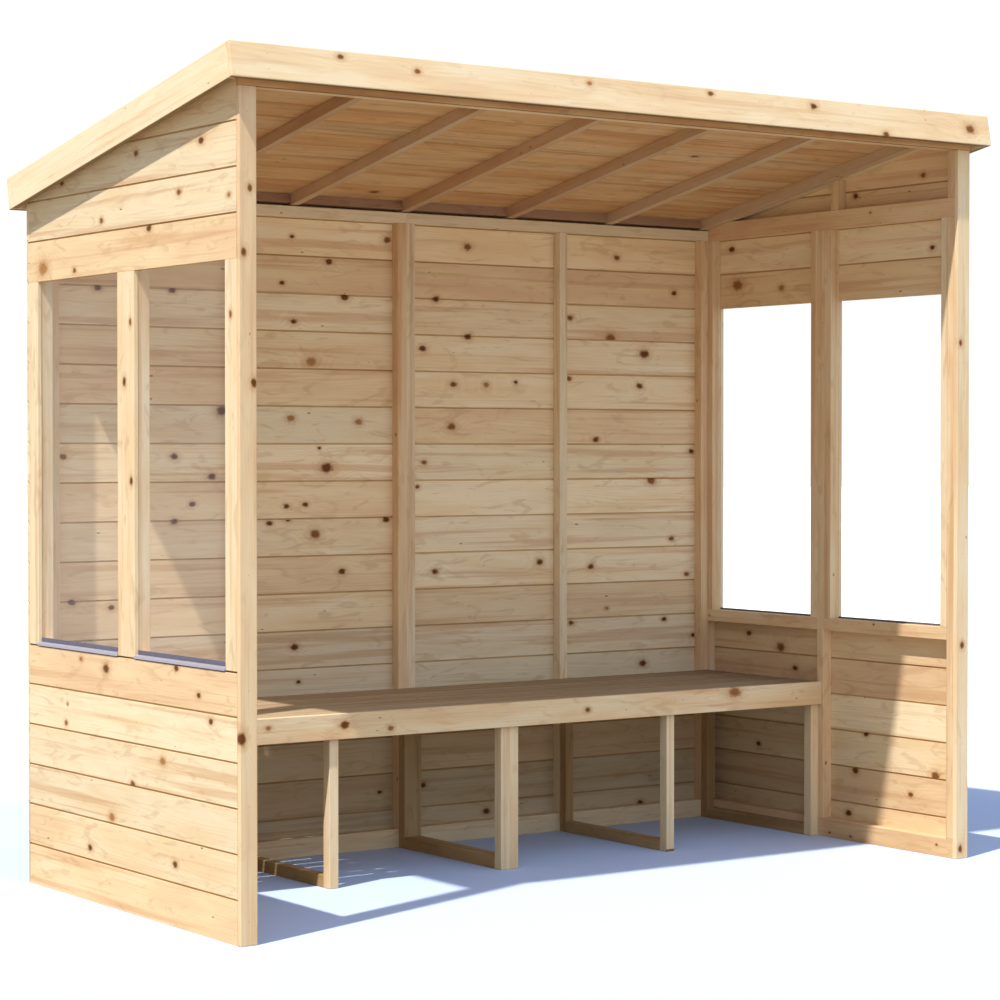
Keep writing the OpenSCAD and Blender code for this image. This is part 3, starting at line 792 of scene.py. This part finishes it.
shape = bmesh.new()
(uLow, vLow, wLow), (uHigh, vHigh, wHigh) = localBox("roof_felt", roofPlane)
starts = (vLow,) + felt["laps"]
ends = felt["laps"] + (vHigh,)
under = wLow + felt["sheet"]
rise, level = felt["slope"]
for i, (start, end) in enumerate(zip(starts, ends)):
    outline = [(start, wLow), (end, wLow)]
    if i < len(felt["laps"]):  # the lower edge lies over the next sheet down
        outline += [(end, under + felt["hair"]), (end + felt["lap"], under + felt["hair"]),
                    (end + felt["lap"], wHigh - felt["hair"]),
                    (end - level, wHigh - felt["hair"]), (end - rise, under), (start, under)]
    else:
        outline += [(end, under), (start, under)]
    if i == 0:  # the first sheet is thickest at the front edge
        outline[-1] = (start, wHigh)
    face = shape.faces.new([shape.verts.new((uLow, v, w)) for v, w in outline])
    end = bmesh.ops.extrude_face_region(shape, geom=[face])["geom"]
    bmesh.ops.translate(shape, verts=[g for g in end if isinstance(g, bmesh.types.BMVert)],
                        vec=(uHigh - uLow, 0, 0))
bmesh.ops.recalc_face_normals(shape, faces=shape.faces[:])
bmesh.ops.transform(shape, matrix=roofPlane, verts=shape.verts)
addPiece("roof_felt_sheets", shape, [mineralFelt], "roof_felt")


# zinc-plated steel, dull grey with a soft sheen
zinc, tree = newMaterial("ZincPlatedSteel")
place = addNode(tree, "ShaderNodeTexCoord").outputs["Object"]
spangle = addNode(tree, "ShaderNodeTexNoise", {"Vector": place, "Scale": 700.0, "Detail": 1.0})
colour = addNode(tree, "ShaderNodeMix", {
    0: spangle.outputs[0], 6: hexColour("#8E8F90"), 7: hexColour("#B5B7B8")}, data_type="RGBA")
shader = addNode(tree, "ShaderNodeBsdfPrincipled",
                 {"Base Color": colour.outputs[2], "Metallic": 1.0, "Roughness": 0.5})
addNode(tree, "ShaderNodeOutputMaterial", {0: shader.outputs[0]})
nailHead = {"depth": 0.0012, "sides": 8, "taper": 0.8}


def driveNails(name, places, normal, radius, proud):
    # low eight-sided heads, set into the wood and a hair proud of it
    shape = bmesh.new()
    turn = Vector(normal).to_track_quat("Z", "Y").to_matrix().to_4x4()
    for place in places:
        at = Vector(place) + Vector(normal) * (proud - nailHead["depth"] / 2)
        bmesh.ops.create_cone(shape, cap_ends=True, segments=nailHead["sides"], radius1=radius,
                              radius2=radius * nailHead["taper"], depth=nailHead["depth"],
                              matrix=Matrix.Translation(at) @ turn)
    addPiece(name, shape, [zinc])


# rows of clouts along the front, the back and each lap, and up both sides
left, right = uLow + felt["nailSide"], uHigh - felt["nailSide"]
count = int((uHigh - uLow) / felt["nailPitch"])
across = [left + i * (right - left) / count for i in range(count + 1)]
rows = [(vLow + felt["nailEnds"], wHigh - felt["hair"]), (vHigh - felt["nailEnds"], under)]
rows += [(v + felt["lap"] - 0.02, wHigh - felt["hair"]) for v in felt["laps"]]
clouts = [(u, v, w) for v, w in rows for u in across]
count = int((vHigh - vLow) / felt["nailPitch"])
clouts += [(u, vLow + 0.08 + i * (vHigh - vLow - 0.16) / count, under)
           for i in range(count) for u in (left, right)]
driveNails("felt_clouts", [roofPlane @ Vector(p) for p in clouts],
           roofPlane.to_3x3() @ Vector((0, 0, 1)), felt["nailRadius"], felt["nailProud"])
print("felt laid with", len(clouts), "clouts")

# fine brads where the boards and slats cross the timbers behind them
brads = {
    "head": (0.0014, 0.0003),  # radius, and how far it stands proud
    "studs": (0.015, 0.592, 1.169),  # from the front edge of a side wall
    "posts": (0.062, 0.647, 1.232, 1.264, 1.849, 2.434),  # along the back wall
    "board": 0.03,  # each brad from the middle of its board
    "clear": 0.01,  # least distance from a wall's top
    "underRoof": 0.015,
    "slats": 8,
    "slat": 0.018,
    "trim": 0.02,
    "postFoot": 0.06,
    "postPitch": 0.285,
    "postCount": 8,
    "rafters": 7,
    "rafterHalf": 0.014,
    "fasciaDown": 0.045,  # below the fascia's top
}


def boardMiddles(low, high):
    count = int((high - low - 0.05) / boards["cover"]) + 1
    return [low + boards["cover"] * (i + 0.5) + step for i in range(count)
            for step in (-brads["board"], brads["board"])]


for side, normal in (("left", (-1, 0, 0)), ("right", (1, 0, 0))):
    low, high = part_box(side + "_lower_cladding")
    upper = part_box(side + "_upper_cladding")
    heights = boardMiddles(low.z, high.z) + boardMiddles(upper[0].z, upper[1].z)
    spots = []
    for y in brads["studs"]:
        roof = upper[1].z - y * math.tan(roofPitch) - brads["underRoof"]
        spots += [(low.x if side == "left" else high.x, wallZero.y + y, z) for z in heights
                  if z < high.z - brads["clear"] or upper[0].z < z < roof]
    driveNails(side + "_wall_brads", spots, normal, *brads["head"])
low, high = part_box("back_cladding_left")
spots = [(wallZero.x + x, high.y, z) for x in brads["posts"]
         for z in boardMiddles(low.z, high.z) if z < high.z - brads["clear"]]
driveNails("back_wall_brads", spots, (0, 1, 0), *brads["head"])

low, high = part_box("bench_seat_boards")
pitch = (high.y - low.y) / brads["slats"]
spots = [(wallZero.x + x, low.y + pitch * (i + 0.5) + step, high.z) for x in brads["posts"]
         for i in range(brads["slats"]) for step in (-brads["slat"], brads["slat"])]
driveNails("seat_brads", spots, (0, 0, 1), *brads["head"])
low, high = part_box("bench_apron")
spots = [(wallZero.x + x, low.y, (low.z + high.z) / 2 + step)
         for x in brads["posts"] for step in (-brads["trim"], brads["trim"])]
for side in ("left", "right"):
    low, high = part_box(side + "_front_trim")
    spots += [((low.x + high.x) / 2, low.y, low.z + brads["postFoot"] + brads["postPitch"] * i)
              for i in range(brads["postCount"])]
driveNails("trim_brads", spots, (0, -1, 0), *brads["head"])
low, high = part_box("rafters")
first = low.x - wallZero.x + brads["rafterHalf"]
pitch = (high.x - low.x - 2 * brads["rafterHalf"]) / (brads["rafters"] - 1)
spots = [(first + i * pitch, 0.0, step - brads["fasciaDown"])
         for i in range(brads["rafters"]) for step in (-brads["trim"], brads["trim"])]
driveNails("fascia_brads", [roofPlane @ Vector(p) for p in spots],
           roofPlane.to_3x3() @ Vector((0, -1, 0)), *brads["head"])
print("brads driven")


# a white floor that keeps its shade, a plain pale world and one soft lamp from the upper left
light = {
    "travel": (2.7, 0.95, -4.8),
    "strength": 4.4,
    "colour": "#FFFBF5",
    "softness": 1.2,
    "sky": "#DCEAFF",
    "skyWay": (0.0, -0.8, 0.6),  # the world is brightest high up in front
    "skyLow": 0.24,
    "skyHigh": 1.16,
    "backdrop": 1.06,
    "floorTone": "#A29C90",  # what the floor throws back at the object
    "floorSeen": "#C9DAFF",  # bright enough to show white in the lamp's light, blue in shade
    "floorFades": (2.2, 4.0),  # between these the floor turns plain white, to meet the backdrop
    "floorSize": 60.0,
}
sun = bpy.data.objects.new("sun", bpy.data.lights.new("sun", "SUN"))
sun.data.energy = light["strength"]
sun.data.color = hexColour(light["colour"])[:3]
sun.data.angle = math.radians(light["softness"])
sun.rotation_euler = Vector(light["travel"]).to_track_quat("-Z", "Y").to_euler()
scene.collection.objects.link(sun)


def seenDirectly(tree):
    # 1 for what the camera sees, straight or in gloss and glass, and 0 for light on the object
    ray = addNode(tree, "ShaderNodeLightPath")
    seen = ray.outputs["Is Camera Ray"]
    for way in ("Is Glossy Ray", "Is Transmission Ray"):
        seen = addNode(tree, "ShaderNodeMath", {0: seen, 1: ray.outputs[way]},
                       operation="MAXIMUM").outputs[0]
    return seen


world = bpy.data.worlds.new("world")
scene.world = world
world.use_nodes = True
tree = world.node_tree
tree.nodes.clear()
way = addNode(tree, "ShaderNodeTexCoord").outputs["Generated"]
facing = addNode(tree, "ShaderNodeVectorMath", {0: way, 1: light["skyWay"]},
                 operation="DOT_PRODUCT").outputs["Value"]
glow = addNode(tree, "ShaderNodeMapRange", {
    0: facing, 1: 0.0, 2: 1.0, 3: light["skyLow"], 4: light["skyHigh"]}).outputs[0]
sky = addNode(tree, "ShaderNodeBackground", {0: hexColour(light["sky"]), 1: glow}).outputs[0]
white = addNode(tree, "ShaderNodeBackground",
                {0: hexColour("#FFFFFF"), 1: light["backdrop"]}).outputs[0]
mixed = addNode(tree, "ShaderNodeMixShader", {0: seenDirectly(tree), 1: sky, 2: white}).outputs[0]
addNode(tree, "ShaderNodeOutputWorld", {0: mixed})

paleFloor, tree = newMaterial("PaleFloor")
place = addNode(tree, "ShaderNodeTexCoord").outputs["Object"]
far = addNode(tree, "ShaderNodeVectorMath", {0: place}, operation="LENGTH").outputs["Value"]
start, end = light["floorFades"]
far = addNode(tree, "ShaderNodeMapRange", {0: far, 1: start, 2: end}).outputs[0]
tint = addNode(tree, "ShaderNodeMix", {
    0: far, 6: hexColour(light["floorSeen"]), 7: hexColour("#FFFFFF")}, data_type="RGBA")
colour = addNode(tree, "ShaderNodeMix", {
    0: seenDirectly(tree), 6: hexColour(light["floorTone"]), 7: tint.outputs[2]},
    data_type="RGBA")
matt = addNode(tree, "ShaderNodeBsdfDiffuse", {0: colour.outputs[2]}).outputs[0]
addNode(tree, "ShaderNodeOutputMaterial", {0: matt})
shape = bmesh.new()
bmesh.ops.create_grid(shape, x_segments=1, y_segments=1, size=light["floorSize"])
mesh = bpy.data.meshes.new("floor")
shape.to_mesh(mesh)
shape.free()
mesh.materials.append(paleFloor)
floor = bpy.data.objects.new("floor", mesh)
scene.collection.objects.link(floor)
scene.view_settings.view_transform = "Standard"
print("floor and light set")
